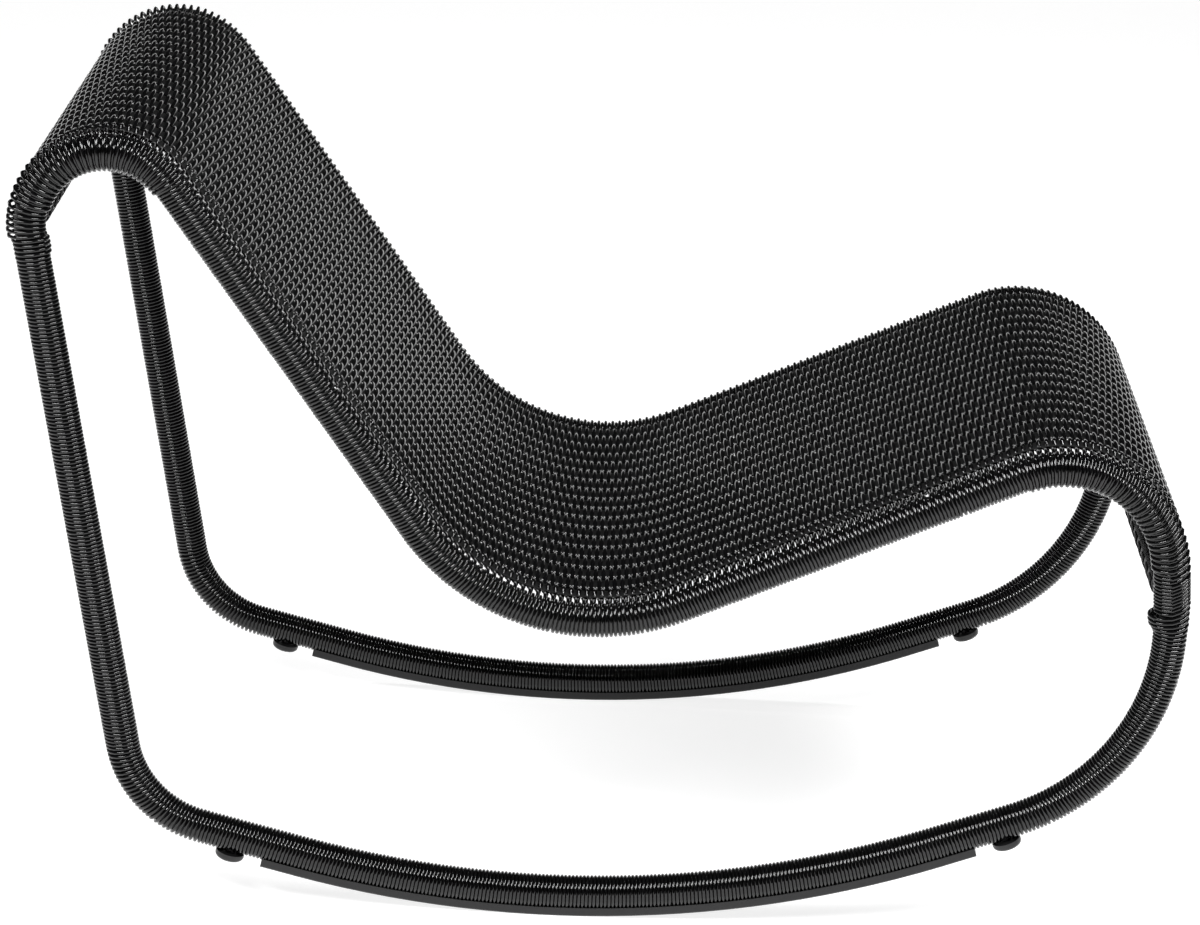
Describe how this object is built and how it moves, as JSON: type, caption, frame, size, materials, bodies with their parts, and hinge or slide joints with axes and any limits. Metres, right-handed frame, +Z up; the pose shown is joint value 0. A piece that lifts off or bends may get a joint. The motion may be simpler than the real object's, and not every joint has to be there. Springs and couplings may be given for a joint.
{
  "type": "wicker rocking chair",
  "caption": "Lounge rocking chair with bent tube side loops wound in black cord, and a woven cord seat panel slung from a high head end to the knees.",
  "frame": {"origin": "centre of the bounding box at floor level, under the chair as it rests on its runners", "axes": "+X towards the front of the chair (the knees), +Y towards the sitter's left, +Z up"},
  "size_m": [1.0704, 0.5896, 0.7224],
  "materials": {
    "frame_tube": "black powder coat, seen only inside the loops' windings",
    "joint_steel": "plain steel sleeve inside the tube",
    "cord": "glossy black round synthetic cord",
    "runner_rubber": "matte black rubber",
    "screw_steel": "plain steel screw"
  },
  "bodies": {
    "root": {"left_upper_tube": "frame_tube", "right_upper_tube": "frame_tube", "left_lower_tube": "frame_tube", "right_lower_tube": "frame_tube", "left_rear_joint_sleeve": "joint_steel", "right_rear_joint_sleeve": "joint_steel", "left_front_joint_sleeve": "joint_steel", "right_front_joint_sleeve": "joint_steel", "rear_crossbar": "frame_tube", "front_crossbar": "frame_tube", "woven_panel": "cord", "left_upper_wrap": "cord", "right_upper_wrap": "cord", "left_lower_wrap": "cord", "right_lower_wrap": "cord", "rear_crossbar_wrap": "cord", "front_crossbar_wrap": "cord", "left_rear_lashing": "cord", "right_rear_lashing": "cord", "left_front_lashing": "cord", "right_front_lashing": "cord", "left_runner_strip": "runner_rubber", "right_runner_strip": "runner_rubber", "left_rear_stop_foot": "runner_rubber", "right_rear_stop_foot": "runner_rubber", "left_front_stop_foot": "runner_rubber", "right_front_stop_foot": "runner_rubber", "stop_foot_screws": "screw_steel", "left_strip_screws": "screw_steel", "right_strip_screws": "screw_steel"}
  },
  "joints": []
}
